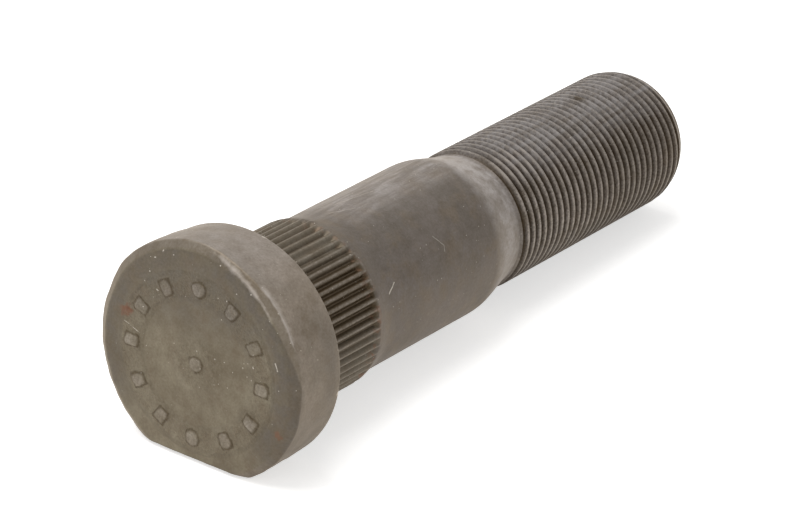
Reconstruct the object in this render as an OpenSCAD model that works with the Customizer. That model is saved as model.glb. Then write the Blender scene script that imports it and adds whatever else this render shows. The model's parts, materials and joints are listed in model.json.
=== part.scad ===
// Wheel stud for a truck or trailer hub, one forged and rolled piece of steel.
// It lies as it comes to rest: on the head's flat and the rim of its thread end.
// The origin is on the stud's axis at the face under the head. The thread end is towards +X, +Z is up.

/* [Head] */
// Width across the head at its outer face
head_face_d = 35.5; // [34:0.1:42]
// Width across the head at the face that bears on the hub
head_back_d = 34.8; // [33:0.1:41]
// Thickness of the head
head_thick = 10.5; // [6:0.1:16]
// Depth of the locking flat below the round rim of the face
flat_depth = 2.9; // [1:0.05:3.4]
// Rounding where the flat runs into the round rim
flat_corner_r = 1.5; // [0.5:0.1:3]
// Small bevel along the flat's front and rear edges
flat_bevel = 0.5; // [0.2:0.1:1]
// Width of the bevel round the outer face
bevel_w = 1.3; // [0.8:0.1:2.5]
// Depth of that bevel along the axis
bevel_deep = 1.1; // [0.5:0.05:1.5]
// Rounding of the bevel's inner and outer edges
bevel_round_r = 1; // [0.2:0.1:1.2]
// Rounding of the head's rear edge
back_round_r = 0.6; // [0.2:0.1:1]
// Fillet between the head and the serrations
neck_fillet_r = 0.8; // [0.3:0.1:1.1]

/* [Face marks] */
// Distance from the bevel inwards to the middle of the ring of raised pads
mark_inset = 5; // [3:0.05:8]
// Radial length of a pad
mark_w = 2.6; // [1.2:0.1:3]
// Height of the marks above the face
mark_h = 0.3; // [0.1:0.05:0.6]
// Pads in each half of the ring
mark_count = 5; // [3:1:8]
// Angle that one pad covers
mark_angle = 11; // [6:1:16]
// Radius of the two dots between the halves and of the one in the middle
dot_r = 1.3; // [0.6:0.1:2]

/* [Serrations] */
// Diameter over the serrations
serration_d = 25.86; // [25.4:0.02:27]
// Depth of the valleys between them
serration_depth = 0.6; // [0.3:0.05:0.8]
// Number of serrations
serration_count = 56; // [40:1:64]
// Share of each pitch that is valley at the crest
valley_share = 0.78; // [0.5:0.02:0.8]
// Share of each pitch that is the valley's floor
floor_share = 0.14; // [0.1:0.02:0.44]
// Length of the serrations from the head
serration_len = 15.3; // [10:0.1:22]
// Length over which a valley runs out
valley_runout = 1; // [0.5:0.1:2]
// Length of the taper from the serrations down to the shank
collar_taper = 3; // [1:0.1:5]

/* [Shank] */
// Diameter of the plain shank
shank_d = 24.6; // [24:0.02:25.2]
// Distance from the head to where the shank starts to narrow
shank_end = 45.6; // [32:0.1:50]
// Length of the cone that leads down to the thread
shoulder_len = 6.9; // [4:0.1:9]
// Rounding where the cone starts
shoulder_round_r = 12; // [4:1:14]
// Length of the plain neck before the thread
neck_len = 1; // [0.6:0.1:3]

/* [Thread] */
// Major diameter
thread_d = 22; // [21.6:0.1:23]
// Pitch
thread_pitch = 1.5; // [1:0.25:2]
// Distance from the head to the thread end
under_head_len = 98.2; // [86:0.1:130]
// Radial depth of the chamfer at the thread end
end_chamfer_r = 1.2; // [0.5:0.1:1.5]
// Length of that chamfer
end_chamfer_len = 2.4; // [0.8:0.1:3]

/* [Hidden] */
$fn = 96;

corner_steps = 6;
face_r = head_face_d / 2;
back_r = head_back_d / 2;
flat_offset = face_r - flat_depth;
mark_ring_r = face_r - bevel_w - mark_inset;
shank_r = shank_d / 2;
serration_r = serration_d / 2;
valley_r = serration_r - serration_depth;
thread_r = thread_d / 2;

// A 60 degree thread: the crest flat is an eighth of the pitch, and a rolled blank has the pitch diameter
crest_flat = thread_pitch / 8;
thread_depth = 0.6134 * thread_pitch;
flank_len = thread_depth * tan(30);
root_r = thread_r - thread_depth;
neck_r = thread_r - 0.3248 * thread_pitch;

neck_start = shank_end + shoulder_len;
rim_z = under_head_len - end_chamfer_len;
turn_count = floor((rim_z - neck_start - neck_len) / thread_pitch);
// Turns past the last full one, which the chamfer cuts down
chamfered_turns = ceil(end_chamfer_len / thread_pitch);

// The axis dips until the thread end's rim is as low as the rear edge of the flat
lay_tilt = atan((flat_offset - thread_r) / (rim_z + flat_bevel));

steel = [0.43, 0.41, 0.38];

function unit(v) = v / norm(v);

// Points of an arc of radius r that rounds the corner b between the lines to a and to c
function rounded(a, b, c, r) =
    let (
        to_a = unit(a - b),
        to_c = unit(c - b),
        half = acos(to_a * to_c) / 2,
        centre = b + unit(to_a + to_c) * r / sin(half),
        first = b + to_a * r / tan(half) - centre,
        last = b + to_c * r / tan(half) - centre,
        start = atan2(first.y, first.x),
        swing = atan2(last.y, last.x) - start,
        turn = swing > 180 ? swing - 360 : swing < -180 ? swing + 360 : swing
    )
    [for (i = [0 : corner_steps]) centre + r * [cos(start + turn * i / corner_steps),
                                                sin(start + turn * i / corner_steps)]];

// Radius and height along the head's outline, with its face at -head_thick and its back at 0
head_outline =
    let (
        face_edge = [face_r - bevel_w, -head_thick],
        rim_edge = [face_r, bevel_deep - head_thick],
        back_edge = [back_r, 0]
    )
    concat(
        [[0, -head_thick]],
        rounded([0, -head_thick], face_edge, rim_edge, bevel_round_r),
        rounded(face_edge, rim_edge, back_edge, bevel_round_r),
        rounded(rim_edge, back_edge, [0, 0], back_round_r),
        [[0, 0]]
    );

// One ridge of the thread, from root to root, with the middle of its crest at height z
function thread_ridge(z) = [
    [root_r, z - crest_flat / 2 - flank_len],
    [thread_r, z - crest_flat / 2],
    [thread_r, z + crest_flat / 2],
    [root_r, z + crest_flat / 2 + flank_len]
];

// The thread's ridges as rings in one plane each: the right-hand lead of the real thread,
// one pitch a turn, is left out here, so that the crests stay true round surfaces
last_crest = rim_z - crest_flat / 2;
thread_outline = [
    for (turn = [-turn_count : chamfered_turns]) each thread_ridge(last_crest + turn * thread_pitch)
];

// Radius and height from under the head to the thread end
shank_outline =
    let (
        fillet_corner = [serration_r, 0],
        fillet_end = [serration_r, 2 * neck_fillet_r],
        shoulder_top = [shank_r, shank_end],
        shoulder_foot = [neck_r, neck_start],
        beyond_end = under_head_len + 2 * thread_pitch
    )
    concat(
        [[0, -head_thick / 2], [serration_r + neck_fillet_r, -head_thick / 2]],
        rounded([back_r, 0], fillet_corner, fillet_end, neck_fillet_r),
        [[serration_r, serration_len], [shank_r, serration_len + collar_taper]],
        rounded([shank_r, 0], shoulder_top, shoulder_foot, shoulder_round_r),
        [shoulder_foot, [neck_r, thread_outline[0].y - crest_flat]],
        thread_outline,
        [[root_r, beyond_end], [0, beyond_end]]
    );

// The round head with the D shape that its locking flat gives it
module head() {
    far = 2 * face_r;
    corner_x = flat_offset - flat_corner_r;
    corner_y = sqrt(pow(face_r - flat_corner_r, 2) - pow(corner_x, 2));
    corner_angle = atan2(corner_y, corner_x);
    corner = [for (i = [0 : corner_steps])
        [corner_x, corner_y] + flat_corner_r * [cos(corner_angle * i / corner_steps),
                                                sin(corner_angle * i / corner_steps)]];
    run_off = corner[corner_steps] + face_r * [-sin(corner_angle), cos(corner_angle)];
    half = concat(corner, [run_off, [-far, run_off.y]]);
    other_half = [for (i = [len(half) - 1 : -1 : 0]) [half[i].x, -half[i].y]];

    difference() {
        rotate_extrude() polygon(head_outline);
        translate([0, 0, -2 * head_thick])
            linear_extrude(3 * head_thick)
                difference() {
                    square(4 * far, center = true);
                    polygon(concat(half, other_half));
                }
        for (z = [-head_thick, 0])
            translate([flat_offset, 0, z])
                rotate([0, 45, 0])
                    cube([flat_bevel * sqrt(2), 2 * face_r, flat_bevel * sqrt(2)], center = true);
    }
}

// Plain raised marks on the face: two arcs of pads, and dots between them and in the middle
module face_marks() {
    arc_step = 180 / (mark_count + 1);
    sunk = mark_h;
    translate([0, 0, -head_thick - mark_h]) {
        for (side = [0, 180], i = [1 : mark_count])
            rotate(side + i * arc_step - mark_angle / 2)
                rotate_extrude(angle = mark_angle)
                    translate([mark_ring_r - mark_w / 2, 0])
                        square([mark_w, mark_h + sunk]);
        for (x = [-mark_ring_r, 0, mark_ring_r])
            translate([x, 0, 0])
                cylinder(h = mark_h + sunk, r = dot_r);
    }
}

// What is cut from the collar to leave the serrations: a valley ends where the ramp rises through it
module serration_valleys() {
    pitch_angle = 360 / serration_count;
    // A flank keeps its slope a little beyond the crest, out to where the cutter ends
    beyond = 5 / 4;
    outside_r = valley_r + beyond * serration_depth;
    outer_share = floor_share + beyond * (valley_share - floor_share);
    difference() {
        translate([0, 0, neck_fillet_r])
            linear_extrude(serration_len)
                for (i = [0 : serration_count - 1])
                    rotate(i * pitch_angle)
                        polygon([for (edge = [[valley_r, -floor_share], [outside_r, -outer_share],
                                              [outside_r, outer_share], [valley_r, floor_share]])
                            edge[0] * [cos(edge[1] * pitch_angle / 2), sin(edge[1] * pitch_angle / 2)]]);
        translate([0, 0, serration_len - 2 * valley_runout])
            cylinder(h = 4 * valley_runout, r1 = valley_r - serration_depth,
                     r2 = valley_r + 3 * serration_depth);
    }
}

// Collar, shank, shoulder, neck and thread in one turned outline
module shank() {
    difference() {
        rotate_extrude()
            intersection() {
                polygon(shank_outline);
                polygon([[0, -head_thick], [back_r, -head_thick], [back_r, 0], [serration_r, shank_end],
                         [thread_r, rim_z], [thread_r - end_chamfer_r, under_head_len], [0, under_head_len]]);
            }
        serration_valleys();
    }
}

module wheel_stud() {
    color(steel)
        rotate([0, 90 + lay_tilt, 0]) {
            head();
            face_marks();
            shank();
        }
}

wheel_stud();
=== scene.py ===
import json
import math

import bpy
import numpy as np
from mathutils import Matrix, Vector


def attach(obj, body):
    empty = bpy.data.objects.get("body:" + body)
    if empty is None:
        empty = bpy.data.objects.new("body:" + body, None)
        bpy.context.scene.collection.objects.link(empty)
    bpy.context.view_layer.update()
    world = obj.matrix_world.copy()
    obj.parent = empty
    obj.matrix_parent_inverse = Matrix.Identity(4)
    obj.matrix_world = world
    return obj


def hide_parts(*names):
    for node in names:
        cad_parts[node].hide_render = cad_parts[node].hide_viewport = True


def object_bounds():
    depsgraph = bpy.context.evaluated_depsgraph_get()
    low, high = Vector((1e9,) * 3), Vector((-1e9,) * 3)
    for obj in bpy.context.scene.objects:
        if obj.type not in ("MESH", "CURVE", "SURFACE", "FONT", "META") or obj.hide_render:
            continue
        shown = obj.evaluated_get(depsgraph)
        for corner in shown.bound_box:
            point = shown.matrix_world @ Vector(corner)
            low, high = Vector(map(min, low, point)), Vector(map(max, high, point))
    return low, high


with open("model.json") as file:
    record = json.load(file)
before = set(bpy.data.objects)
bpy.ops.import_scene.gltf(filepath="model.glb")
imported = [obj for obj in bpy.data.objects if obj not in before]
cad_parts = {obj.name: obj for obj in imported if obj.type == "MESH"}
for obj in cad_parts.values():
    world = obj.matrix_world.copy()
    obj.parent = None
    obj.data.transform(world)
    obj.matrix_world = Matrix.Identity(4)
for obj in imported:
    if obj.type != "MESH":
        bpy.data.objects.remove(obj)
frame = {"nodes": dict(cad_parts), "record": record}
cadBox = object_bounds()
print("frame loaded:", ", ".join(frame["nodes"]))

mm = 0.001

# the stud's axis dips a little, because it lies on its flat; the record's mount gives it
bearingFace = next(mount for mount in frame["record"]["mounts"] if mount["name"] == "bearing_face")
studAxis = np.array(bearingFace["axis"]) / np.linalg.norm(bearingFace["axis"])
sideAxis = np.array([0.0, 1.0, 0.0])
flatAxis = np.cross(sideAxis, studAxis)  # out of the locking flat, so nearly straight down

# sizes are millimetres and degrees; distances run along the stud from the face under the head,
# and angles round it from the flat. The steps are places within one serration and one pitch of the thread
meshSteps = {
    "perSerration": (-0.5, -0.45, -0.4, -0.25, -0.08, 0.0, 0.08, 0.25, 0.4, 0.45),
    "coarseEvery": 5,
    "perPitch": (0.0, 0.08, 0.16, 0.26, 0.36, 0.43, 0.5, 0.57, 0.64, 0.74, 0.84, 0.92),
    "corner": 5,
    "weld": 1e-4,  # points nearer than about this become one
    "sharpAngle": 40.0,
}


def smoothStep(x):
    # 0 below 0, 1 above 1, and 3x^2 - 2x^3 between
    x = np.clip(x, 0.0, 1.0)
    return x * x * (3.0 - 2.0 * x)


def rise(x, start, over):
    # 0 up to the start, and 1 from that far past it
    return smoothStep((x - start) / over)


def fall(x, start, over):
    # 1 up to the start, and 0 from that far past it
    return 1.0 - rise(x, start, over)


def amount(pair, where):
    # what there is everywhere, and how much more in one place
    return pair[0] + pair[1] * where


def softMin(a, b, reach):
    # the smaller of two surfaces, with the corner between them rounded over reach
    mix = np.clip(0.5 + 0.5 * (b - a) / reach, 0.0, 1.0)
    return b + (a - b) * mix - reach * mix * (1.0 - mix)


def turnedBy(angle, fromDegrees):
    # angle past a place on the round, between minus and plus half a turn
    return (angle - math.radians(fromDegrees) + math.pi) % (2.0 * math.pi) - math.pi


def window(angle, middle, half, fade):
    # 1 within half degrees of the middle, falling to 0 over fade degrees
    return smoothStep((half + fade - np.degrees(np.abs(turnedBy(angle, middle)))) / fade)


def roundedCorner(before, corner, after, radius):
    # points of the circle that touches both lines at a corner of a profile
    before, corner, after = (np.array(point, float) for point in (before, corner, after))
    back = (before - corner) / np.linalg.norm(before - corner)
    ahead = (after - corner) / np.linalg.norm(after - corner)
    half = math.acos(float(np.clip(back @ ahead, -1.0, 1.0))) / 2.0
    centre = corner + (back + ahead) / np.linalg.norm(back + ahead) * radius / math.sin(half)
    start = corner + back * radius / math.tan(half) - centre
    stop = corner + ahead * radius / math.tan(half) - centre
    first = math.atan2(start[1], start[0])
    swing = (math.atan2(stop[1], stop[0]) - first + math.pi) % (2.0 * math.pi) - math.pi
    angles = first + swing * np.linspace(0.0, 1.0, meshSteps["corner"])
    return centre + radius * np.stack([np.cos(angles), np.sin(angles)], axis=1)


def straightOn(point):
    # further along at the same radius; a rounding takes only the direction from it
    return point[0], point[1] + 1.0


def stretch(start, stop, count):
    # evenly spaced profile points between two, without the ends
    steps = np.linspace(0.0, 1.0, count + 2)[1:-1, None]
    return np.array(start, float) + steps * (np.array(stop, float) - np.array(start, float))


def turnedProfile(profile, angle):
    # for each point of a profile at each angle: how far along it lies, how far out, and the angle
    radius = np.broadcast_to(profile[:, :1], (len(profile), angle.size))
    return np.broadcast_to(profile[:, 1:], radius.shape), radius, np.broadcast_to(angle, radius.shape)


# forged D-shaped head with a bevel round its face. Here and below, unless a note says otherwise, a pair of
# numbers is where something starts and how far on it is whole, and what ends in Round, or is the darkest
# side, with three numbers is a window round the stud: its middle, the half of it that is whole, and its fade
head = {
    "thickness": 10.5,
    "faceRadius": 17.62,
    "backRadius": 17.4,
    "faceEnds": (0.01, 0.01),
    "bevelWidth": 1.35,
    "bevelDepth": 1.0,
    "bevelInnerRound": 1.0,
    "bevelOuterRound": 0.45,
    "backRound": 0.6,
    "fillet": 0.8,
    "flatOffset": 14.85,
    "flatCornerRound": 0.26,
    "flatEdgeRound": 0.5,
    "flatLeastCosine": 0.2,  # keeps the flat on its own side of the head
    "bulge": 0.45,  # the forging stands out on one side of its face
    "bulgeRound": (155.0, 20.0, 25.0),
    "bulgeEnds": (3.0, 8.0),
    "outerPart": (12.0, 4.0),
    "dentDepth": 0.1,
    "dentsFromFace": (0.3, 1.5),
    "dentsFromBack": (0.3, 1.2),
    "dentSlant": (1.3, -0.6),  # how far the dents shift across and down in a millimetre from the face
    "rimDents": 0.1,
    "rimDentsAt": 0.9,
    "rimDentsReach": 1.2,
    "rimDentsFiner": 1.6,
    "faceWaves": 0.06,
    "fineFaceWaves": 0.045,
    "fineFaceFiner": 2.6,
    "faceWavesEnd": (0.1, 2.0),
    "shift": 0.05,  # the whole head lies this much further from the thread end
    "bevelRows": 5,
    "sideRows": 8,
    "backRows": 2,
}

# plain worn pads and dots that stand on the face
faceMarks = {
    "ringRadius": 11.45,
    "padLength": 2.6,
    "padAngle": 11.0,
    "padCorner": 0.5,
    "padsPerHalf": 5,
    "seed": 7,
    "dotRadius": 1.3,
    "dotShare": 0.8,  # a dot's height as a share of a pad's
    "height": 0.3,
    "footPast": 0.1,  # how far a mark's foot reaches past its outline
    "softEdge": 0.55,
    "leastLeft": 0.35,  # share of its height that the most worn pad keeps
    "heightLeft": (0.85, 0.35),  # what even wear leaves, and how much waves of wear add to it or take
    "heightFiner": 2.2,
    "ragged": 0.14,
    "raggedFiner": 3.7,
    "rowMargin": 0.3,
    "dotRows": 8,
    "padRows": 18,
    "plainRows": 4,
    "plainFrom": 3.0,
    "gapInsideRing": 0.6,
    "gapOutsideRing": 0.7,
    "gapAtRim": 0.6,
}

# dirt and painted shade round the foot of each mark, under the head and along the flat's front edge, and the
# marks' rubbed tops
headDirtAndShade = {
    "foot": 0.75,
    "footFrom": (0.0, 0.06),
    "footTo": (0.4, 0.5),
    "fillet": 0.9,
    "filletFrom": (-0.35, 0.3),
    "flat": 0.45,
    "flatCut": (0.0, 0.1),
    "flatFront": (0.6, 0.6),
    "rubbed": 0.4,
    "rubbedFrom": (0.6, 0.35),
}

# lines on the bevel, partly worn to the steel and partly painted highlight where its edges catch the light;
# each end is an angle, a place across the bevel and a half width. The place is the way out from the bevel's
# inner edge plus the way down from the face, so its outer edge is at 2.35.
# A line fades over a fifth of its length at both ends
wornAndSheenLines = [
    {"from": (-178.0, 1.9, 1.2), "to": (-128.0, 0.2, 0.4), "bareAndSheen": 0.52},
    {"from": (-150.0, 2.6, 0.5), "to": (-111.0, 2.3, 0.4), "bareAndSheen": 0.6},
    {"from": (65.0, 2.35, 0.3), "to": (160.0, 2.3, 0.4), "bareAndSheen": 0.35},
]
lineEnd = (0.0, 0.2)

# painted shade: a dark band between the marks and the rim: where it lies, and how far across the bevel it
# runs at some angles. The upper face, the rim on the left, the head's side low down and a band along its rear
# edge are painted darker too
shades = {
    "bandRound": (-112.0, 52.0, 25.0),
    "bandInner": (12.6, 2.0),
    "bandOuterAt": (-175.0, -131.0, -112.0, -95.0),
    "bandOuter": (1.3, 0.0, 0.8, 2.4),
    "bandOuterFade": 0.35,
    "upper": 0.7,
    "upperFrom": (1.0, 9.0),
    "left": 0.9,
    "leftRound": (120.0, 50.0, 35.0),
    "leftInner": (-3.4, 1.6),
    "leftLost": 0.65,  # the share of it that the bevel loses
    "leftLostFrom": (0.0, 0.3),
    "sideFrom": (1.4, 0.8),
    "lowSide": 0.5,
    "lowSideRound": (-60.0, 16.0, 16.0),
    "rear": 0.55,
    "rearRound": (-100.0, 12.0, 16.0),
    "rearFrom": (-4.1, 1.0),
}


def placeAcrossBevel(radius, along):
    # way out from the bevel's inner edge plus the way down from the face
    return radius - head["faceRadius"] + head["bevelWidth"] + (along + head["thickness"])


def bareAndSheenLines(across, angle):
    # for each line, a tent across its width that fades at both ends; the highest counts
    bareAndSheen = np.zeros_like(across)
    for line in wornAndSheenLines:
        start, stop = line["from"], line["to"]
        share = np.degrees(turnedBy(angle, start[0])) / (stop[0] - start[0])
        held = np.clip(share, 0.0, 1.0)
        centre = start[1] + held * (stop[1] - start[1])
        half = start[2] + held * (stop[2] - start[2])
        tent = np.clip(1.0 - np.abs(across - centre) / half, 0.0, 1.0)
        ends = rise(share, *lineEnd) * rise(1.0 - share, *lineEnd)
        bareAndSheen = np.maximum(bareAndSheen, line["bareAndSheen"] * tent * ends)
    return bareAndSheen


def headRows():
    # profile of the head from the middle of its face round to the fillet, as (radius, along) points
    top = -head["thickness"]
    faceEdge = (head["faceRadius"] - head["bevelWidth"], top)
    rimEdge = (head["faceRadius"], top + head["bevelDepth"])
    backEdge = (head["backRadius"], 0.0)
    filletCorner = (serrations["radius"], 0.0)
    ringInside = faceMarks["ringRadius"] - faceMarks["padLength"] / 2.0 - faceMarks["rowMargin"]
    ringOutside = faceMarks["ringRadius"] + faceMarks["padLength"] / 2.0 + faceMarks["rowMargin"]
    plainRows = faceMarks["plainRows"]
    faceRadii = np.concatenate([
        np.linspace(0.0, faceMarks["dotRadius"] + faceMarks["rowMargin"], faceMarks["dotRows"]),
        np.linspace(faceMarks["plainFrom"], ringInside - faceMarks["gapInsideRing"], plainRows),
        np.linspace(ringInside, ringOutside, faceMarks["padRows"]),
        np.linspace(ringOutside + faceMarks["gapOutsideRing"], faceEdge[0] - faceMarks["gapAtRim"],
                    plainRows),
    ])
    onFace = np.stack([faceRadii, np.full_like(faceRadii, top)], axis=1)
    rim = roundedCorner((0.0, top), faceEdge, rimEdge, head["bevelInnerRound"])
    outer = roundedCorner(faceEdge, rimEdge, backEdge, head["bevelOuterRound"])
    rear = roundedCorner(rimEdge, backEdge, filletCorner, head["backRound"])
    fillet = roundedCorner(backEdge, filletCorner, straightOn(filletCorner), head["fillet"])
    return np.concatenate([
        onFace, rim, stretch(rim[-1], outer[0], head["bevelRows"]), outer,
        stretch(outer[-1], rear[0], head["sideRows"]), rear,
        stretch(rear[-1], fillet[0], head["backRows"]), fillet,
    ])


# slow waves of forged surfaces: radians in a millimetre across, radians in a millimetre down, and the start
forgingWaves = ((0.52, 0.31, 0.4), (0.27, -0.71, 2.1), (1.13, 0.58, 4.4), (-0.83, 1.21, 1.2))


def forgedWaves(across, down):
    # rise and fall between -1 and 1: the mean of the waves
    heights = [np.sin(byAcross * across + byDown * down + start) for byAcross, byDown, start in forgingWaves]
    return sum(heights) / len(forgingWaves)


def headSurface(radius, along, angle):
    # the turned profile with a bulge on one side and slow dents, then cut by the flat, which lies at its
    # offset divided by the cosine of the angle
    fromFace = along + head["thickness"]
    bulge = head["bulge"] * window(angle, *head["bulgeRound"]) * fall(fromFace, *head["bulgeEnds"])
    onSide = rise(fromFace, *head["dentsFromFace"]) * rise(-along, *head["dentsFromBack"])
    across, down = head["faceRadius"] * np.sin(angle), head["faceRadius"] * np.cos(angle)
    slantAcross, slantDown = head["dentSlant"]
    dents = forgedWaves(across + slantAcross * fromFace, down + slantDown * fromFace)
    nearRim = smoothStep(1.0 - np.abs(fromFace - head["rimDentsAt"]) / head["rimDentsReach"])
    rimDents = forgedWaves(head["rimDentsFiner"] * across, head["rimDentsFiner"] * down)
    uneven = bulge + head["dentDepth"] * onSide * dents + head["rimDents"] * nearRim * rimDents
    radius = radius + rise(radius, *head["outerPart"]) * uneven
    edge = head["flatEdgeRound"]
    fromEdge = np.clip(edge - np.minimum(fromFace, -along), 0.0, edge)
    sunk = edge - np.sqrt(edge**2 - fromEdge**2)
    reach = (head["flatOffset"] - sunk) / np.maximum(np.cos(angle), head["flatLeastCosine"])
    return softMin(radius, reach, head["flatCornerRound"])


def faceRelief(radius, angle):
    # height of the raised marks over the face, and how far up its own flank each point of them is: a pad
    # stands where its arc and its ring overlap, a dot stands round each centre, and all are worn unevenly
    relief = np.zeros_like(radius)
    flank = np.zeros_like(radius)
    ring, past, soft = faceMarks["ringRadius"], faceMarks["footPast"], faceMarks["softEdge"]
    across, down = radius * np.sin(angle), radius * np.cos(angle)
    heightFiner, raggedFiner = faceMarks["heightFiner"], faceMarks["raggedFiner"]
    worn = amount(faceMarks["heightLeft"], forgedWaves(heightFiner * down, heightFiner * across))
    ragged = faceMarks["ragged"] * forgedWaves(raggedFiner * across, raggedFiner * down)
    step = math.pi / (faceMarks["padsPerHalf"] + 1)
    halfAcross = math.radians(faceMarks["padAngle"]) / 2.0 * ring
    rng = np.random.default_rng(faceMarks["seed"])
    for half in (0.0, math.pi):
        for index in range(1, faceMarks["padsPerHalf"] + 1):
            turned = (angle - half - index * step + math.pi) % (2.0 * math.pi) - math.pi
            inRing = faceMarks["padLength"] / 2.0 + past - np.abs(radius - ring)
            inArc = halfAcross + past - np.abs(turned) * ring
            inside = smoothStep((softMin(inRing, inArc, faceMarks["padCorner"]) + ragged) / soft)
            left = rng.uniform(faceMarks["leastLeft"], 1.0)
            relief += faceMarks["height"] * left * inside * worn
            flank += inside
    for dotAt in (-ring, 0.0, ring):
        apart = np.hypot(down - dotAt, across)
        inside = smoothStep((faceMarks["dotRadius"] + past - apart + ragged) / soft)
        relief += faceMarks["dotShare"] * faceMarks["height"] * inside * worn
        flank += inside
    return relief, flank


def headShades(radius, along, angle, down, onFace):
    # how much painted shade each point of the head gets: the darkest of the shades that reach it
    across = placeAcrossBevel(radius, along)
    middle = shades["bandRound"][0]
    turned = np.degrees(turnedBy(angle, middle))
    outer = np.interp(turned + middle, shades["bandOuterAt"], shades["bandOuter"])
    band = rise(radius, *shades["bandInner"]) * fall(across, outer, shades["bandOuterFade"])
    band = band * window(angle, *shades["bandRound"])
    upper = rise(-down, *shades["upperFrom"]) * onFace
    left = window(angle, *shades["leftRound"]) * rise(across, *shades["leftInner"])
    left = left * (1.0 - shades["leftLost"] * rise(across, *shades["leftLostFrom"]))
    onSide = rise(along + head["thickness"], *shades["sideFrom"])
    lowSide = onSide * window(angle, *shades["lowSideRound"])
    rear = onSide * window(angle, *shades["rearRound"]) * rise(along, *shades["rearFrom"])
    return np.max([
        band, shades["upper"] * upper, shades["left"] * left, shades["lowSide"] * lowSide,
        shades["rear"] * rear,
    ], axis=0)


def headPatch(angle):
    # the head's grid with its wear and dirt, its painted shade, and its lines that are partly worn to the
    # steel and partly painted highlight
    along, radius, angle = turnedProfile(headRows(), angle)
    fromFace = along + head["thickness"]
    onFace = fall(fromFace, *head["faceEnds"])
    shaped = headSurface(radius, along, angle)
    relief, flank = (part * onFace for part in faceRelief(shaped, angle))
    across, down = shaped * np.sin(angle), shaped * np.cos(angle)
    finer = head["fineFaceFiner"]
    waves = head["faceWaves"] * forgedWaves(across, down)
    waves = waves + head["fineFaceWaves"] * forgedWaves(finer * down, finer * across)
    shapedAlong = along - relief + waves * fall(fromFace, *head["faceWavesEnd"]) - head["shift"]
    # dirt and painted shade lie round the foot of a mark, under the head and along the flat's front edge; a
    # mark's top is worn, and the bevel's lines are partly worn to the steel and partly painted highlight
    foot = rise(flank, *headDirtAndShade["footFrom"]) * fall(flank, *headDirtAndShade["footTo"])
    fillet = rise(along, *headDirtAndShade["filletFrom"])
    onFlat = rise(radius - shaped, *headDirtAndShade["flatCut"]) * fall(fromFace, *headDirtAndShade["flatFront"])
    onFlat = onFlat * (1.0 - onFace)
    rubbed = headDirtAndShade["rubbed"] * rise(flank, *headDirtAndShade["rubbedFrom"])
    onIt = {
        "wear": rubbed * relief / faceMarks["height"],
        "grimeAndShade": headDirtAndShade["foot"] * foot + headDirtAndShade["fillet"] * fillet + headDirtAndShade["flat"] * onFlat,
        "paintedShade": headShades(radius, along, angle, down, onFace),
        "bareAndSheen": bareAndSheenLines(placeAcrossBevel(radius, along), angle),
    }
    return shapedAlong, shaped, angle, onIt


# straight serrations next to the head; the amounts of dirt with painted shade, and of wear, are what there is
# all round, and how much more on the darkest side
serrations = {
    "count": 56,
    "seed": 11,
    "radius": 12.93,
    "depth": 0.6,
    "valleyShare": 0.8,
    "floorShare": 0.14,
    "flankPast": 1.3,  # a flank keeps its slope out to this many times the depth
    "valleyRound": 0.08,
    "crestRound": 0.07,
    "length": 15.3,
    "runout": 1.0,
    "taper": 3.0,
    "endJitter": 0.45,
    "depthJitter": 0.12,
    "plainRows": 6,
    "runoutRows": 12,
    "taperRows": 4,
    "runoutRowsBefore": 1.9,
    "runoutRowsAfter": 0.4,
    "rowsPastTaper": 0.6,
    "darkestSide": (-121.0, 14.0, 28.0),
    "grimeAndShadeEnds": (-0.4, 0.6),
    "crestWear": (0.15, 0.6),
    "crest": (0.0, 0.05),
    "grimeAndShade": (0.13, 0.49),
    "valleyGrimeAndShade": (0.06, 0.44),
    "valley": (0.1, 0.45),
}


def collarRows():
    # distances along the serrated collar, closest where the valleys run out
    closeFrom = serrations["length"] - serrations["runoutRowsBefore"]
    closeTo = serrations["length"] + serrations["runoutRowsAfter"]
    end = serrations["length"] + serrations["taper"] + serrations["rowsPastTaper"]
    return np.concatenate([
        np.linspace(head["fillet"], closeFrom, serrations["plainRows"])[1:],
        np.linspace(closeFrom, closeTo, serrations["runoutRows"])[1:],
        np.linspace(closeTo, end, serrations["taperRows"])[1:],
    ])


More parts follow.
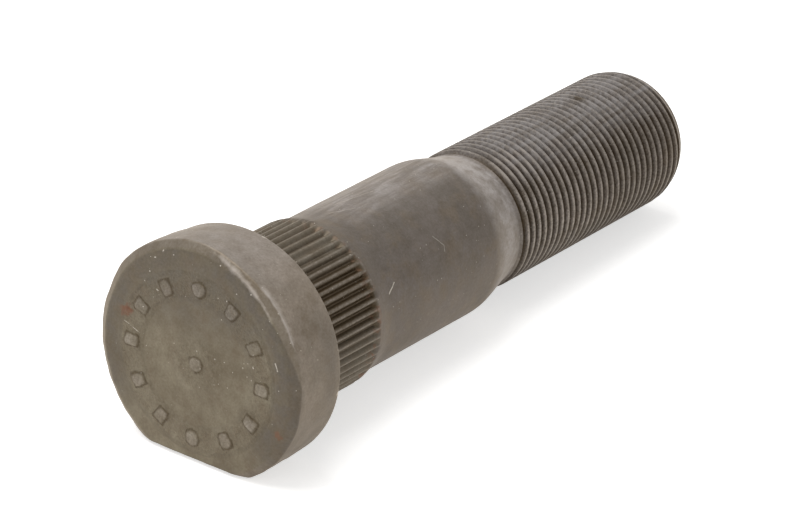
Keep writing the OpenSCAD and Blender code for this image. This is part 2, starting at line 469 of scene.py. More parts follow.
def collarPatch(angle):
    # turned collar radius, cut by straight valleys whose floor rises along a ramp at the shank's side
    along = collarRows()[:, None]
    angle = angle[None, :]
    taperedIn = np.clip((along - serrations["length"]) / serrations["taper"], 0.0, 1.0)
    collar = serrations["radius"] - taperedIn * (serrations["radius"] - shank["radius"])
    pitchAngle = 2.0 * math.pi / serrations["count"]
    rng = np.random.default_rng(serrations["seed"])
    endShift = rng.uniform(-1.0, 1.0, serrations["count"]) * serrations["endJitter"]
    deeper = 1.0 + rng.uniform(-1.0, 1.0, serrations["count"]) * serrations["depthJitter"]
    valley = np.rint(angle / pitchAngle).astype(int) % serrations["count"]
    across = np.abs((angle / pitchAngle + 0.5) % 1.0 - 0.5) * 2.0
    flank = (across - serrations["floorShare"]) / (serrations["valleyShare"] - serrations["floorShare"])
    depth = serrations["depth"] * deeper[valley]
    toothed = serrations["radius"] - depth * (1.0 - np.clip(flank, 0.0, serrations["flankPast"]))
    rampFoot = serrations["length"] - serrations["runout"] + endShift[valley]
    ramp = serrations["radius"] - depth * (1.0 - (along - rampFoot) / serrations["runout"])
    cut = -softMin(-toothed, -ramp, serrations["valleyRound"])
    radius = softMin(collar, cut, serrations["crestRound"])
    along = np.broadcast_to(along, radius.shape)
    angle = np.broadcast_to(angle, radius.shape)
    sunk = np.clip((collar - radius) / serrations["depth"], 0.0, 1.0)
    # crests are rubbed, and oil with painted shade darkens the valleys, most of all on the side that faces
    # the camera
    grimedAndShaded = fall(along - serrations["length"], *serrations["grimeAndShadeEnds"])
    darkestSide = window(angle, *serrations["darkestSide"])
    inValley = amount(serrations["valleyGrimeAndShade"], darkestSide) * rise(sunk, *serrations["valley"])
    onIt = {
        "wear": amount(serrations["crestWear"], darkestSide) * fall(sunk, *serrations["crest"]) * grimedAndShaded,
        "grimeAndShade": (amount(serrations["grimeAndShade"], darkestSide) + inValley) * grimedAndShaded,
    }
    return along, radius, angle, onIt


# plain shank and the cone that leads down to the thread
shank = {
    "radius": 12.3,
    "end": 45.6,
    "startPastTaper": 1.4,
    "shoulderLength": 6.9,
    "shoulderRound": 12.0,
    "footRound": 2.0,
    "barrelRows": 12,
    "coneRows": 4,
    "uneven": 0.02,
    "unevenFrom": (19.0, 4.0),
    "unevenTo": (45.0, 5.0),
    "unevenSlant": (0.4, -0.7),  # how far the waves shift across and down in a millimetre along
}


def shankRows():
    # profile from the collar to the end of the neck
    start = (shank["radius"], serrations["length"] + serrations["taper"] + shank["startPastTaper"])
    shoulderTop = (shank["radius"], shank["end"])
    shoulderFoot = (neckRadius, shank["end"] + shank["shoulderLength"])
    threadStart = thread["end"] - thread["turns"] * thread["pitch"]
    rounded = roundedCorner(start, shoulderTop, shoulderFoot, shank["shoulderRound"])
    foot = roundedCorner(shoulderTop, shoulderFoot, straightOn(shoulderFoot), shank["footRound"])
    return np.concatenate([
        np.array([start]), stretch(start, rounded[0], shank["barrelRows"]), rounded,
        stretch(rounded[-1], foot[0], shank["coneRows"]), foot,
        np.array([[neckRadius, threadStart]]),
    ])


def shankPatch(angle):
    # the turned profile with slow waves along the barrel
    along, radius, angle = turnedProfile(shankRows(), angle)
    uneven = shank["uneven"] * rise(along, *shank["unevenFrom"]) * fall(along, *shank["unevenTo"])
    across, down = radius * np.sin(angle), radius * np.cos(angle)
    slantAcross, slantDown = shank["unevenSlant"]
    radius = radius + uneven * forgedWaves(across + slantAcross * along, down + slantDown * along)
    return along, radius, angle, {}


# rolled right-hand thread; its end rolls over in a parabola. The amounts of dirt with painted shade, and of
# wear, are what there is all round, and how much more on the darkest side
thread = {
    "radius": 11.0,
    "pitch": 1.5,
    "depthShare": 0.6134,  # how deep a 60 degree thread is, as a share of its pitch
    "neckShare": 0.3248,  # and how deep its pitch line is, which is where its blank was
    "turns": 30,
    "end": 98.0,
    "crestShare": 0.28,
    "rootShare": 0.14,
    "crestAt": 0.5,  # where in a pitch the crest lies, as seen on the flat's side
    "softened": 0.3,
    "runInTurns": 1.1,
    "runOut": 0.3,
    "studEnd": 98.2,
    "rollOverFrom": 94.2,
    "rollOver": 0.078,
    "rollOverSpare": 0.02,
    "rollOverRound": 0.06,
    "endRound": 0.25,
    "endRadii": (8.0, 5.0, 2.0, 0.0),
    "darkestSide": (-112.0, 34.0, 34.0),
    "farOut": (64.0, 24.0),
    "crestWear": (0.2, 0.65),
    "crest": (0.0, 0.08),
    "wearLost": 0.4,  # the share of the wear that goes far out
    "grimeAndShade": 0.1,
    "darkSideGrimeAndShade": (0.2, 0.05),  # on the darkest side, and how much more far out
    "rootGrimeAndShade": (0.4, 0.5),
    "root": (0.3, 0.25),
    "sheen": 0.55,  # painted highlight: crests painted light on one side of the first turns, where they catch the light
    "sheenRound": (-150.0, 6.0, 22.0),
    "sheenEnds": (60.0, 15.0),
    "sheenCrest": (0.1, 0.2),
}
threadDepth = thread["depthShare"] * thread["pitch"]
neckRadius = thread["radius"] - thread["neckShare"] * thread["pitch"]


def rolledOver(along):
    # radius that the end's rounding leaves: it falls with the square of the distance into the rounding
    into = np.maximum(along - thread["rollOverFrom"], 0.0)
    return thread["radius"] + thread["rollOverSpare"] - thread["rollOver"] * into**2


def threadPatch(angle):
    # a helical grid: each row runs round once while it moves one pitch along, so it meets the row one turn
    # on. The first turn's rows all start from one point, and the last turn's rows all end in one
    pitch, end = thread["pitch"], thread["end"]
    turns = np.arange(thread["turns"] + 1)
    rows = (turns[:, None] + np.array(meshSteps["perPitch"])[None, :]).ravel()
    rows = np.append(rows, thread["turns"] + 1.0)[:, None]
    share = (angle[None, :] - angle[0]) / (2.0 * math.pi)
    startAt = end - thread["turns"] * pitch
    lastTurn = np.clip(rows - thread["turns"], 0.0, 1.0)
    along = startAt + pitch * (np.minimum(rows, 1.0) * share + np.maximum(rows - 1.0, 0.0))
    along = np.where(lastTurn > 0.0, end - pitch * (1.0 - share) * (1.0 - lastTurn), along)
    # the 60 degree section, with its crest and root softened by the rolling
    fromCrest = np.abs((rows - thread["crestAt"] + 0.5) % 1.0 - 0.5)
    flankShare = (1.0 - thread["crestShare"] - thread["rootShare"]) / 2.0
    down = np.clip((fromCrest - thread["crestShare"] / 2.0) / flankShare, 0.0, 1.0)
    down = (1.0 - thread["softened"]) * down + thread["softened"] * smoothStep(down)
    runIn = rise(along, startAt, thread["runInTurns"] * pitch)
    radius = neckRadius + (thread["radius"] - threadDepth * down - neckRadius) * runIn
    over = rolledOver(along)
    radius = softMin(radius, over, thread["rollOverRound"])
    runOut = rise(along, end - thread["runOut"], thread["runOut"])
    radius = radius + (over - radius) * runOut
    down = np.broadcast_to(down, radius.shape)
    angle = np.broadcast_to(angle, radius.shape)
    # crests are rubbed, and oil with painted shade darkens the roots, least of all on top, where the thread
    # is painted light as a sheen; the crests of the first turns on one side get a painted highlight
    onThread = runIn * (1.0 - runOut)
    farOut = rise(along, *thread["farOut"])
    darkestSide = window(angle, *thread["darkestSide"])
    wear = amount(thread["crestWear"], darkestSide) * (1.0 - thread["wearLost"] * farOut)
    grimeAndShade = thread["grimeAndShade"] + amount(thread["darkSideGrimeAndShade"], farOut) * darkestSide
    inRoot = amount(thread["rootGrimeAndShade"], darkestSide) * rise(down, *thread["root"])
    sheen = window(angle, *thread["sheenRound"]) * fall(along, *thread["sheenEnds"])
    sheen = sheen * fall(down, *thread["sheenCrest"])
    onIt = {
        "wear": wear * fall(down, *thread["crest"]) * onThread,
        "grimeAndShade": (grimeAndShade + inRoot) * onThread,
        "bareAndSheen": thread["sheen"] * sheen * onThread,
    }
    return along, radius, angle, onIt


def endPatch(angle):
    # the last of the rounding, a small corner and the end face
    edge = (float(rolledOver(thread["studEnd"])), thread["studEnd"])
    start = (float(rolledOver(thread["end"])), thread["end"])
    corner = roundedCorner(start, edge, (0.0, thread["studEnd"]), thread["endRound"])
    faceRadii = np.array(thread["endRadii"])
    face = np.stack([faceRadii, np.full_like(faceRadii, thread["studEnd"])], axis=1)
    return *turnedProfile(np.concatenate([np.array([start]), corner, face]), angle), {}


def gridFaces(rows, columns, first):
    # quads of a grid of points whose rows follow one another from index first
    index = first + np.arange(rows * columns).reshape(rows, columns)
    corners = (index[:-1, :-1], index[:-1, 1:], index[1:, 1:], index[1:, :-1])
    return np.stack([corner.ravel() for corner in corners], axis=1)


def zipFaces(fineRow, coarseRow, ratio):
    # triangles between a ring of many points and one of few: a fan for each coarse point, and one that
    # closes it
    apex = np.repeat(coarseRow[:-1], ratio)
    fans = np.stack([fineRow[:-1], fineRow[1:], apex, apex], axis=1)
    closing = np.stack([fineRow[ratio::ratio], coarseRow[1:], coarseRow[:-1], coarseRow[:-1]], axis=1)
    return np.concatenate([fans, closing])


# what the material reads from the skin: rubbed crests, oil and dirt with painted shade in the hollows, bands
# of painted shade on the head, and lines partly worn to the steel and partly painted highlight
skinLayers = ("wear", "grimeAndShade", "paintedShade", "bareAndSheen")


def studSurface():
    # all patches of the stud, put in place and numbered as one skin
    pitchAngle = 2.0 * math.pi / serrations["count"]
    fineAngle = np.arange(serrations["count"])[:, None] + np.array(meshSteps["perSerration"])[None, :]
    fineAngle = np.append(fineAngle.ravel(), serrations["count"] - 0.5) * pitchAngle
    coarseAngle = fineAngle[:: meshSteps["coarseEvery"]]
    # the head's last row is the collar's first, so the two are one grid
    onHead, onCollar = headPatch(fineAngle), collarPatch(fineAngle)
    fine = [np.concatenate(pair) for pair in zip(onHead[:3], onCollar[:3])]
    fine.append({layer: np.concatenate([
        np.broadcast_to(patch[3].get(layer, 0.0), patch[0].shape) for patch in (onHead, onCollar)])
        for layer in skinLayers})
    points, faces, firsts = [], [], []
    layers = {layer: [] for layer in skinLayers}
    count = 0
    coarse = [makePatch(coarseAngle) for makePatch in (shankPatch, threadPatch, endPatch)]
    for along, radius, angle, onIt in [fine] + coarse:
        places = along[..., None] * studAxis
        places = places + (radius * np.cos(angle))[..., None] * flatAxis
        places = places + (radius * np.sin(angle))[..., None] * sideAxis
        points.append(places.reshape(-1, 3))
        for layer in skinLayers:
            layers[layer].append(np.broadcast_to(onIt.get(layer, 0.0), along.shape).ravel())
        faces.append(gridFaces(*along.shape, count))
        firsts.append(count)
        count += along.size
    fineLast = firsts[1] - fineAngle.size + np.arange(fineAngle.size)
    coarseFirst = firsts[1] + np.arange(coarseAngle.size)
    faces.append(zipFaces(fineLast, coarseFirst, meshSteps["coarseEvery"]))
    layers = {layer: np.concatenate(parts) for layer, parts in layers.items()}
    return np.concatenate(points), layers, np.concatenate(faces)


def weldedMesh(name, points, layers, faces):
    # points that share a place become one, quads that lose a corner become triangles, and flat ones go
    cells = np.rint(points / meshSteps["weld"]).astype(np.int64)
    _, kept, places = np.unique(cells, axis=0, return_index=True, return_inverse=True)
    faces = places.reshape(-1)[faces]
    distinct = 1 + (np.diff(np.sort(faces, axis=1), axis=1) > 0).sum(axis=1)
    quads = faces[distinct == 4]
    triangles = []
    spare = faces[distinct == 3]
    for skipped in range(4):
        twin = spare[:, skipped] == spare[:, (skipped + 1) % 4]
        triangles.append(spare[twin][:, [corner for corner in range(4) if corner != skipped]])
    triangles = np.concatenate(triangles)
    mesh = bpy.data.meshes.new(name)
    mesh.from_pydata((points[kept] * mm).tolist(), [], quads.tolist() + triangles.tolist())
    mesh.update()
    for layer, values in layers.items():
        attribute = mesh.attributes.new(layer, "FLOAT", "POINT")
        attribute.data.foreach_set("value", values[kept].astype(np.float32))
    mesh.shade_smooth()
    mesh.set_sharp_from_angle(angle=math.radians(meshSteps["sharpAngle"]))
    print("stud skin:", len(mesh.vertices), "points,", 2 * len(quads) + len(triangles), "triangles")
    return mesh


studMesh = weldedMesh("stud", *studSurface())
stud = bpy.data.objects.new("studBody", studMesh)
bpy.context.scene.collection.objects.link(stud)


def linear(hexColour):
    # sRGB hex to linear light
    parts = [int(hexColour[i : i + 2], 16) / 255.0 for i in (1, 3, 5)]
    return tuple(c / 12.92 if c <= 0.04045 else ((c + 0.055) / 1.055) ** 2.4 for c in parts) + (1.0,)


def perSize(sizeInMm):
    # texture scale for a feature of that size, in a scene measured in metres
    return 1.0 / (sizeInMm * mm)


def addNode(tree, kind, settings=None, inputs=None):
    # one node with its settings, and its sockets set or linked
    node = tree.nodes.new(kind)
    for name, value in (settings or {}).items():
        setattr(node, name, value)
    for socket, value in (inputs or {}).items():
        if isinstance(value, bpy.types.NodeSocket):
            tree.links.new(value, node.inputs[socket])
        else:
            node.inputs[socket].default_value = value
    return node


def addMath(tree, operation, *terms):
    # what a sum on numbers gives
    return addNode(tree, "ShaderNodeMath", {"operation": operation}, dict(enumerate(terms))).outputs["Value"]


def addVectorMath(tree, operation, inputs):
    # what a sum on vectors gives, which is a number for three of them
    node = addNode(tree, "ShaderNodeVectorMath", {"operation": operation}, inputs)
    return node.outputs["Value" if operation in ("DOT_PRODUCT", "DISTANCE", "LENGTH") else "Vector"]


def addRange(tree, *terms):
    # a value, where it comes from and goes to, and what it gives at each, or 0 and 1 if that isn't said
    sockets = ("Value", "From Min", "From Max", "To Min", "To Max")
    return addNode(tree, "ShaderNodeMapRange", inputs=dict(zip(sockets, terms))).outputs["Result"]


# manganese phosphate on forged and rolled steel, lightly oiled: a dull grey-brown crystal coat that breaks up
# reflections, dark where oil and dirt stay in it and where shade is painted into its hollows and bands, and
# light where it is rubbed and where sheen and highlights are painted on
phosphate = {
    "baseRoughness": 0.5,
    "metallic": 0.3,
    "glossTint": "#ffe0b0",  # old oil turns what the coat reflects brown
    "oilFilm": 0.12,
    "oilFilmRoughness": 0.38,
    # feature size in millimetres, detail and roughness of each pattern
    "noises": {
        "patches": (7.5, 5.0, 0.6),
        "stains": (3.2, 4.0, 0.6),
        "forge": (2.0, 4.0, 0.6),
        "lumps": (1.1, 3.0, 0.55),
        # the real crystals are ten times finer; these are drawn as coarse as they need to show
        "grain": (0.36, 2.0, 0.6),
    },
    "streakSize": 0.9,
    "streakLength": 8.0,  # times the size
    "streakDetail": 3.0,
    "sheenSideAt": 164.0,  # degrees round from the flat
    "dustSize": 0.8,
    "ragSize": 0.7,
    "ragDetail": 3.0,
    "baseColour": "#776f60",
    # each mask: how it is worked out, and from what. A range is from and to, and then what it gives at each,
    # which is 0 and 1 if it isn't said. Places are in millimetres along the stud from under the head, down
    # towards the flat, towards the painted sheen along its top, and out from the origin
    "masks": {
        "patched": ("RANGE", "patches", 0.35, 0.65),
        "offFace": ("RANGE", "along", -10.42, -10.2),
        "offBevel": ("RANGE", "along", -9.6, -9.3),
        "offHead": ("RANGE", "along", -0.6, 0.4),
        "offCollar": ("RANGE", "along", 14.4, 15.6),
        "sidePatches": ("MULTIPLY", "patched", "offBevel"),
        "collarPatches": ("MULTIPLY", "patched", "offHead"),
        "barrelPatches": ("MULTIPLY", "patched", "offCollar"),
        "unevenForge": ("RANGE", "forge", 0.3, 0.6, 0.5, 1.0),
        "mottledShade": ("MULTIPLY", "paintedShade", "unevenForge"),
        "stained": ("RANGE", "stains", 0.5, 0.66, 0.0, 0.45),
        # painted sheen: the cone is painted light, most of all on top, and so is a band along the top of
        # shank, head and thread, where they catch the light
        "ontoCone": ("RANGE", "along", 44.6, 48.0, 0.0, 0.7),
        "offCone": ("RANGE", "along", 52.6, 53.6, 1.0, 0.0),
        "cone": ("MULTIPLY", "ontoCone", "offCone"),
        "coneTop": ("RANGE", "towardsSheen", 4.0, 10.0, 1.0, 1.6),
        "coneSheen": ("MULTIPLY", "cone", "coneTop"),
        "coneShare": ("MULTIPLY", "coneSheen", "unevenForge"),
        "onTop": ("RANGE", "towardsSheen", 9.8, 12.1, 0.0, 0.58),
        "pastCollar": ("RANGE", "along", 16.0, 24.0),
        "streaky": ("RANGE", "streaks", 0.42, 0.62, 0.3, 1.0),
        "streakyTop": ("MULTIPLY", "onTop", "streaky"),
        "nearTop": ("RANGE", "towardsSheen", 6.5, 10.5, 0.0, 0.1),
        "sheenAlongTop": ("ADD", "streakyTop", "nearTop"),
        "sheenPastCollar": ("MULTIPLY", "sheenAlongTop", "pastCollar"),
        "headTop": ("RANGE", "down", -13.0, -17.0, 0.0, 0.35),
        "onHeadSide": ("SUBTRACT", "offBevel", "offHead"),
        "headTopSheen": ("MULTIPLY", "headTop", "onHeadSide"),
        "paleBarrel": ("MAXIMUM", "coneShare", "sheenPastCollar"),
        "pale": ("MAXIMUM", "paleBarrel", "headTopSheen"),
        "threadTop": ("RANGE", "down", -7.0, -10.0, 0.0, 0.78),
        "pastNeck": ("RANGE", "along", 54.0, 60.0),
        "threadTopPastNeck": ("MULTIPLY", "threadTop", "pastNeck"),
        "threadTopSheen": ("MULTIPLY", "threadTopPastNeck", "streaky"),
        "forgeShade": ("RANGE", "forge", 0.3, 0.7, 1.0, 0.0),
        "grainShade": ("RANGE", "grain", 0.3, 0.7, 1.0, 0.0),
        "threadPits": ("RANGE", "grain", 0.35, 0.55, 1.0, 0.0),
        "onThread": ("RANGE", "along", 53.0, 54.5),
        "threadGrain": ("MULTIPLY", "grain", "onThread"),
        "threadShade": ("MULTIPLY", "threadPits", "onThread"),
        # worn crests and lines are broken up by the forging and the crystals
        "chipped": ("RANGE", "forge", 0.35, 0.6, 0.4, 1.0),
        "pitted": ("RANGE", "grain", 0.3, 0.6, 0.4, 1.0),
        "wornCrests": ("MULTIPLY", "wear", "chipped"),
        "brokenCrests": ("MULTIPLY", "wornCrests", "pitted"),
        "chips": ("RANGE", "forge", 0.3, 0.6, 0.3, 0.0),
        "bareAndSheenLeft": ("SUBTRACT", "bareAndSheen", "chips"),
        "bareAndSheenSteel": ("RANGE", "bareAndSheenLeft", 0.0, 0.55, 0.0, 0.9),
        # rubbed crests and mark tops, with painted highlights on the bevel's lines and on the thread's first
        # crests
        "rubbed": ("MAXIMUM", "brokenCrests", "bareAndSheenSteel"),
        "grimeAndShadeLeft": ("RANGE", "grain", 0.3, 0.7, 1.0, 0.8),
        "oilAndShade": ("MULTIPLY", "grimeAndShade", "grimeAndShadeLeft"),
        # rust sits on the tips of the serrations and in a few spots
        "ontoTips": ("RANGE", "along", 12.6, 14.2, 0.0, 0.7),
        "offTips": ("RANGE", "along", 15.2, 15.8, 1.0, 0.0),
        "tips": ("MULTIPLY", "ontoTips", "offTips"),
        "rustPatches": ("RANGE", "lumps", 0.53, 0.62),
        "lowRust": ("RANGE", "down", -7.0, 2.0, 0.35, 1.0),
        "tipPatches": ("MULTIPLY", "rustPatches", "lowRust"),
        "tipRust": ("MULTIPLY", "tips", "tipPatches"),
        "spotRust": ("MULTIPLY", "rust", "unevenForge"),
        "rusty": ("MAXIMUM", "tipRust", "spotRust"),
        "darkSpots": ("MULTIPLY", "dark", 0.7),
        # specks of dust lie thickest on the head's face, on the tips of the serrations and on what faces up
        "speckRadius": ("RANGE", "cellColour", 0.55, 0.82, 0.0, 0.13),
        "speck": ("LESS_THAN", "fromCell", "speckRadius"),
        "onHead": ("RANGE", "along", -9.0, -7.0, 1.0, 0.5),
        "facesUp": ("RANGE", "down", 8.0, -4.0, 0.15, 0.75),
        "settled": ("MULTIPLY", "onHead", "facesUp"),
        "dustLeft": ("MAXIMUM", "settled", "tips"),
        "specks": ("MULTIPLY", "speck", "dustLeft"),
        "deepScratches": ("MULTIPLY", "pale scratch", 0.8),
        "faintScratches": ("MULTIPLY", "faint scratch", 0.3),
        "scratches": ("MAXIMUM", "deepScratches", "faintScratches"),
        "dusty": ("MAXIMUM", "specks", "scratches"),
        # the face is rougher round its middle and along the ring of marks
        "onFace": ("RANGE", "along", -10.2, -10.0, 1.0, 0.0),
        "middle": ("RANGE", "out", 11.6, 10.9),
        "intoRing": ("RANGE", "out", 14.0, 14.6),
        "outOfRing": ("RANGE", "out", 17.4, 16.8),
        "ring": ("MULTIPLY", "intoRing", "outOfRing"),
        "marked": ("MAXIMUM", "middle", "ring"),
        "rougher": ("MULTIPLY", "onFace", "marked"),
        "faceLumps": ("MULTIPLY", "lumps", "rougher"),
        "mattness": ("RANGE", "forge", 0.3, 0.7, -0.08, 0.1),
        "dulled": ("ADD", "mattness", "baseRoughness"),
        "polish": ("MULTIPLY", "rubbed", 0.14),
        "roughness": ("SUBTRACT", "dulled", "polish"),
    },
    # coats of colour over the base, in order: the mask that carries each one, and how it is laid on
    "coats": [
        ("patched", "#8f8877", "MIX"),
        ("offFace", "#877f74", "MIX"),
        ("offBevel", "#857d73", "MIX"),
        ("sidePatches", "#978d82", "MIX"),
        ("offHead", "#6e675c", "MIX"),
        ("collarPatches", "#817c72", "MIX"),
        ("offCollar", "#615c58", "MIX"),
        ("barrelPatches", "#706a67", "MIX"),
        # painted shade on the head, broken up by the forging
        ("mottledShade", "#645f59", "MIX"),
        ("stained", "#736758", "MIX"),
        # painted sheen on the cone and along the top of shank and head
        ("pale", "#b1adac", "MIX"),
        ("forgeShade", "#d6d3cf", "MULTIPLY"),
        ("grainShade", "#e6e3e0", "MULTIPLY"),
        ("threadShade", "#c6c8d2", "MULTIPLY"),
        # rubbed crests, with painted highlights on the bevel's lines and the thread's first crests
        ("rubbed", "#b2aaa3", "MIX"),
        # oil and dirt, with painted shade in hollows, creases and corners
        ("oilAndShade", "#2f2313", "MIX"),
        # painted sheen along the thread's top
        ("threadTopSheen", "#8d8a8a", "MIX"),
        ("rusty", "#6d4a3a", "MIX"),
        ("darkSpots", "#2f2313", "MIX"),
        ("dusty", "#cdc6bb", "MIX"),
    ],
    # bumps from the coarsest to the finest: the pattern, its strength and its height in millimetres
    "bumps": [
        ("faceLumps", 1.0, 0.75),
        ("forge", 0.6, 0.16),
        ("grain", 0.35, 0.03),
        ("threadGrain", 0.5, 0.05),
    ],
}

# marks of handling, listed one by one: two ends and half the width. A place on the face is (down, sideways),
# and elsewhere it is (along, angle, radius). Each kind's edge is uneven by up to half of what is given as
# ragged
handling = {
    "pale scratch": {"ragged": 0.3, "marks": [
        (("face", -4.8, -13.6), ("face", -3.8, -14.1), 0.07),
        (("face", -9.0, 7.2), ("face", -9.1, 7.4), 0.06),
        (("face", -15.4, 6.5), ("face", -15.2, 6.6), 0.06),
        (("face", -13.9, 7.8), ("face", -13.8, 8.0), 0.05),
        (("face", -3.0, -9.8), ("face", -2.8, -9.9), 0.06),
        (("face", -2.5, 12.9), ("face", -1.5, 10.1), 0.045),
        (("side", -0.5, -170.0, 17.4), ("side", -0.2, -168.0, 17.4), 0.16),
        (("side", -0.6, -82.5, 17.4), ("side", -0.2, -84.0, 17.4), 0.16),
        (("side", 18.7, -110.5, 12.3), ("side", 20.4, -116.0, 12.3), 0.06),
        (("side", 17.6, -103.0, 12.3), ("side", 17.8, -104.5, 12.3), 0.06),
        (("side", 44.3, -138.4, 11.9), ("side", 44.5, -139.2, 11.9), 0.12),
    ]},
    "faint scratch": {"ragged": 0.3, "marks": [
        (("side", 31.9, -131.0, 12.3), ("side", 33.3, -122.0, 12.3), 0.05),
        (("side", 33.3, -122.0, 12.3), ("side", 33.0, -118.5, 12.3), 0.05),
        (("side", 22.0, 160.0, 12.3), ("side", 25.0, 176.5, 12.3), 0.05),
        (("side", 20.5, 175.0, 12.3), ("side", 24.5, -177.0, 12.3), 0.05),
        (("side", 23.5, 168.0, 12.3), ("side", 31.0, 175.0, 12.3), 0.05),
    ]},
    "rust": {"ragged": 1.6, "marks": [
        (("face", -4.4, 12.3), ("face", -3.9, 12.9), 0.5),
        (("face", 5.6, -14.6), ("face", 6.2, -15.0), 0.3),
    ]},
    "dark": {"ragged": 0.5, "marks": [
        (("side", 83.0, 178.5, 11.0), ("side", 83.3, -178.5, 11.0), 0.45),
    ]},
}


def placeOnStud(mark):
    # an end of a mark in metres: the face is a plane, and elsewhere the angle turns the radius round the axis
    if mark[0] == "face":
        return (-head["thickness"] * studAxis + mark[1] * flatAxis + mark[2] * sideAxis) * mm
    turned = math.radians(mark[2])
    outward = math.cos(turned) * flatAxis + math.sin(turned) * sideAxis
    return (mark[1] * studAxis + mark[3] * outward) * mm


def streakMask(tree, place, marks):
    # 1 within a mark's half width of the line between its ends, fading out over as much again
    mask = None
    for startMark, stopMark, width in marks:
        start, stop = placeOnStud(startMark), placeOnStud(stopMark)
        line = stop - start
        fromStart = addVectorMath(tree, "SUBTRACT", {0: place, 1: tuple(start)})
        share = addVectorMath(tree, "DOT_PRODUCT", {0: fromStart, 1: tuple(line / (line @ line))})
        held = addNode(tree, "ShaderNodeClamp", inputs={"Value": share}).outputs["Result"]
        nearest = addVectorMath(tree, "SCALE", {0: tuple(line), "Scale": held})
        apart = addVectorMath(tree, "DISTANCE", {0: fromStart, 1: nearest})
        near = addRange(tree, apart, width * mm, 2.0 * width * mm, 1.0, 0.0)
        mask = near if mask is None else addMath(tree, "MAXIMUM", mask, near)
    return mask


def phosphatedSteel(settings):
    # masks, coats of colour and bumps are worked through in the order in which the settings list them
    material = bpy.data.materials.new("phosphatedSteel")
    material.use_nodes = True
    tree = material.node_tree
    tree.nodes.clear()
    place = addNode(tree, "ShaderNodeTexCoord").outputs["Object"]

    # what the masks start from: the place in millimetres, the skin's own layers, patterns and handling
    value = {"baseRoughness": settings["baseRoughness"]}
    turned = math.radians(settings["sheenSideAt"])
    hazeAxis = math.cos(turned) * flatAxis + math.sin(turned) * sideAxis
    for name, axis in (("along", studAxis), ("down", flatAxis), ("towardsSheen", hazeAxis)):
        value[name] = addVectorMath(tree, "DOT_PRODUCT", {0: place, 1: tuple(axis / mm)})
    inMm = addVectorMath(tree, "SCALE", {0: place, "Scale": 1.0 / mm})
    value["out"] = addVectorMath(tree, "LENGTH", {0: inMm})
    for name in skinLayers:
        value[name] = addNode(tree, "ShaderNodeAttribute", {"attribute_name": name}).outputs["Fac"]
    for name, (size, detail, roughness) in settings["noises"].items():
        noise = addNode(tree, "ShaderNodeTexNoise", inputs={
            "Vector": place, "Scale": perSize(size), "Detail": detail, "Roughness": roughness})
        value[name] = noise.outputs["Fac"]
    drawnOut = addNode(tree, "ShaderNodeMapping", inputs={
        "Vector": place, "Scale": (1.0 / settings["streakLength"], 1.0, 1.0)})
    streaks = addNode(tree, "ShaderNodeTexNoise", inputs={
        "Vector": drawnOut.outputs["Vector"], "Scale": perSize(settings["streakSize"]),
        "Detail": settings["streakDetail"]})
    value["streaks"] = streaks.outputs["Fac"]
    cells = addNode(tree, "ShaderNodeTexVoronoi", inputs={
        "Vector": place, "Scale": perSize(settings["dustSize"])})
    value["cellColour"], value["fromCell"] = cells.outputs["Color"], cells.outputs["Distance"]
    # the mean of the noise is taken off, so that it shifts a mark's edge both ways
    rag = addNode(tree, "ShaderNodeTexNoise", inputs={
        "Vector": place, "Scale": perSize(settings["ragSize"]), "Detail": settings["ragDetail"]})
    centred = addVectorMath(tree, "SUBTRACT", {0: rag.outputs["Color"], 1: (0.5, 0.5, 0.5)})
    for name, kind in handling.items():
        shifted = addVectorMath(tree, "MULTIPLY_ADD", {0: centred, 1: (kind["ragged"] * mm,) * 3, 2: place})
        value[name] = streakMask(tree, shifted, kind["marks"])

    for name, (operation, *terms) in settings["masks"].items():
        terms = [value.get(term, term) for term in terms]
        value[name] = addRange(tree, *terms) if operation == "RANGE" else addMath(tree, operation, *terms)

    # sockets 0, 6 and 7 of a colour mix are its factor and its two colours, and 2 is its result
    colour = linear(settings["baseColour"])
    for mask, over, laidOn in settings["coats"]:
        coat = addNode(tree, "ShaderNodeMix", {"data_type": "RGBA", "blend_type": laidOn}, {
            0: value[mask], 6: colour, 7: linear(over)})
        colour = coat.outputs[2]
    normal = addNode(tree, "ShaderNodeNewGeometry").outputs["Normal"]
    for pattern, strength, height in settings["bumps"]:
        bump = addNode(tree, "ShaderNodeBump", inputs={
            "Height": value[pattern], "Strength": strength, "Distance": height * mm, "Normal": normal})
        normal = bump.outputs["Normal"]
    shader = addNode(tree, "ShaderNodeBsdfPrincipled", inputs={
        "Base Color": colour, "Metallic": settings["metallic"], "Roughness": value["roughness"],
        "Specular Tint": linear(settings["glossTint"]), "Normal": normal,
        "Coat Weight": settings["oilFilm"], "Coat Roughness": settings["oilFilmRoughness"]})
    addNode(tree, "ShaderNodeOutputMaterial", inputs={"Surface": shader.outputs["BSDF"]})
    return material


studMesh.materials.append(phosphatedSteel(phosphate))
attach(stud, "root")
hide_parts("wheel_stud")
print("stud dressed")

# pale floor that runs on into a white surround
stage = {
    "floorSize": 4.0,
    "floorColour": "#f2f1ef",
    "floorGlow": 0.6,  # added where it is seen directly, which makes it white
    "worldColour": "#ffffff",
    "worldStrength": 0.4,  # the light that it gives; seen directly it is white
}


def seenDirectly(tree):
    # 1 on rays from the camera, and on those that a gloss or a glass sends on, so that metal shows the
    # surround too
    path = addNode(tree, "ShaderNodeLightPath")
    seen = addMath(tree, "MAXIMUM", path.outputs["Is Camera Ray"], path.outputs["Is Glossy Ray"])
    return addMath(tree, "MAXIMUM", seen, path.outputs["Is Transmission Ray"])


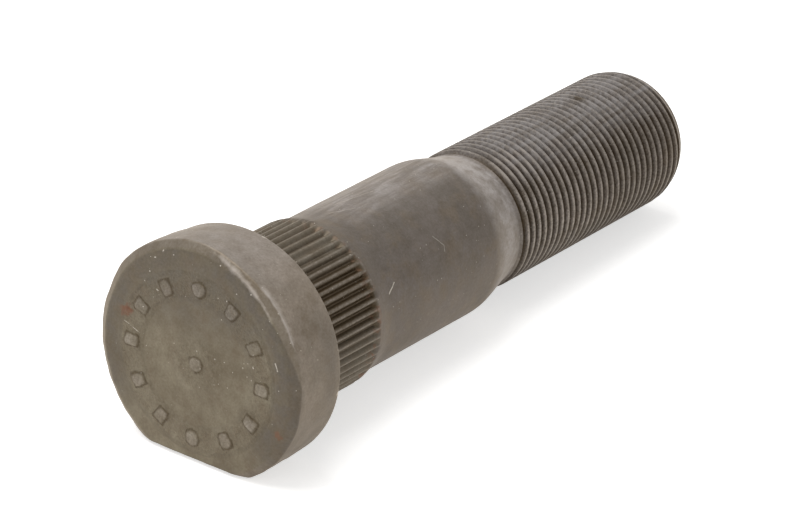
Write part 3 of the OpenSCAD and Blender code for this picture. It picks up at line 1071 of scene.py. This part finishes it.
def paleFloor(settings):
    # a matt plane at the height of the part's lowest point, which glows where it is seen directly
    half = settings["floorSize"] / 2.0
    floorZ = cadBox[0][2]
    mesh = bpy.data.meshes.new("floor")
    corners = [(-half, -half, floorZ), (half, -half, floorZ), (half, half, floorZ), (-half, half, floorZ)]
    mesh.from_pydata(corners, [], [(0, 1, 2, 3)])
    floor = bpy.data.objects.new("floor", mesh)
    bpy.context.scene.collection.objects.link(floor)
    material = bpy.data.materials.new("mattWhiteSweep")
    material.use_nodes = True
    tree = material.node_tree
    tree.nodes.clear()
    matt = addNode(tree, "ShaderNodeBsdfDiffuse", inputs={"Color": linear(settings["floorColour"])})
    glow = addRange(tree, seenDirectly(tree), 0.0, 1.0, 0.0, settings["floorGlow"])
    light = addNode(tree, "ShaderNodeEmission", inputs={"Strength": glow})
    both = addNode(tree, "ShaderNodeAddShader", inputs={
        0: matt.outputs["BSDF"], 1: light.outputs["Emission"]})
    addNode(tree, "ShaderNodeOutputMaterial", inputs={"Surface": both.outputs["Shader"]})
    mesh.materials.append(material)
    return floor


paleFloor(stage)

world = bpy.data.worlds.new("studio")
bpy.context.scene.world = world
world.use_nodes = True
world.node_tree.nodes.clear()
strength = addRange(world.node_tree, seenDirectly(world.node_tree), 0.0, 1.0, stage["worldStrength"], 1.0)
sky = addNode(world.node_tree, "ShaderNodeBackground", inputs={
    "Color": linear(stage["worldColour"]), "Strength": strength})
addNode(world.node_tree, "ShaderNodeOutputWorld", inputs={"Surface": sky.outputs["Background"]})

# softboxes: place and aim in millimetres, size in millimetres, power in watts
softboxes = {
    "overhead": {"place": (-100.0, 190.0, 800.0), "aim": (40.0, 0.0, 0.0), "size": 600.0, "power": 5.1},
    "leftFront": {"place": (-760.0, 60.0, 420.0), "aim": (0.0, 0.0, 0.0), "size": 420.0, "power": 0.5},
}
for name, box in softboxes.items():
    lamp = bpy.data.lights.new(name, "AREA")
    lamp.shape = "SQUARE"
    lamp.size = box["size"] * mm
    lamp.energy = box["power"]
    lampObject = bpy.data.objects.new(name, lamp)
    bpy.context.scene.collection.objects.link(lampObject)
    place = Vector(box["place"]) * mm
    lampObject.location = place
    lampObject.rotation_euler = (Vector(box["aim"]) * mm - place).to_track_quat("-Z", "Y").to_euler()
print("stage and lights ready")

# a long lens from the head's side, above the stud and rolled as the photograph was
cameraSettings = {
    "place": (-439.07, -335.69, 298.43),
    "aim": (39.96, 1.79, -4.81),
    "roll": 2.375,
    "focalLength": 201.6,
    "sensorWidth": 36.0,
    "clipStart": 10.0,
}


def makeCamera(settings):
    # the camera looks from its place to its aim, and its level and upright axes are turned by the roll
    place = np.array(settings["place"])
    forward = np.array(settings["aim"]) - place
    forward = forward / np.linalg.norm(forward)
    level = np.cross(forward, (0.0, 0.0, 1.0))
    level = level / np.linalg.norm(level)
    upright = np.cross(level, forward)
    roll = math.radians(settings["roll"])
    right = level * math.cos(roll) + upright * math.sin(roll)
    up = np.cross(right, forward)
    camera = bpy.data.objects.new("camera", bpy.data.cameras.new("camera"))
    camera.data.lens = settings["focalLength"]
    camera.data.sensor_width = settings["sensorWidth"]
    camera.data.clip_start = settings["clipStart"] * mm
    axes = np.stack([right, up, -forward, place * mm], axis=1)
    camera.matrix_world = Matrix(np.vstack([axes, (0.0, 0.0, 0.0, 1.0)]).tolist())
    bpy.context.scene.collection.objects.link(camera)
    bpy.context.scene.camera = camera


makeCamera(cameraSettings)
bpy.context.scene.view_settings.view_transform = "Standard"
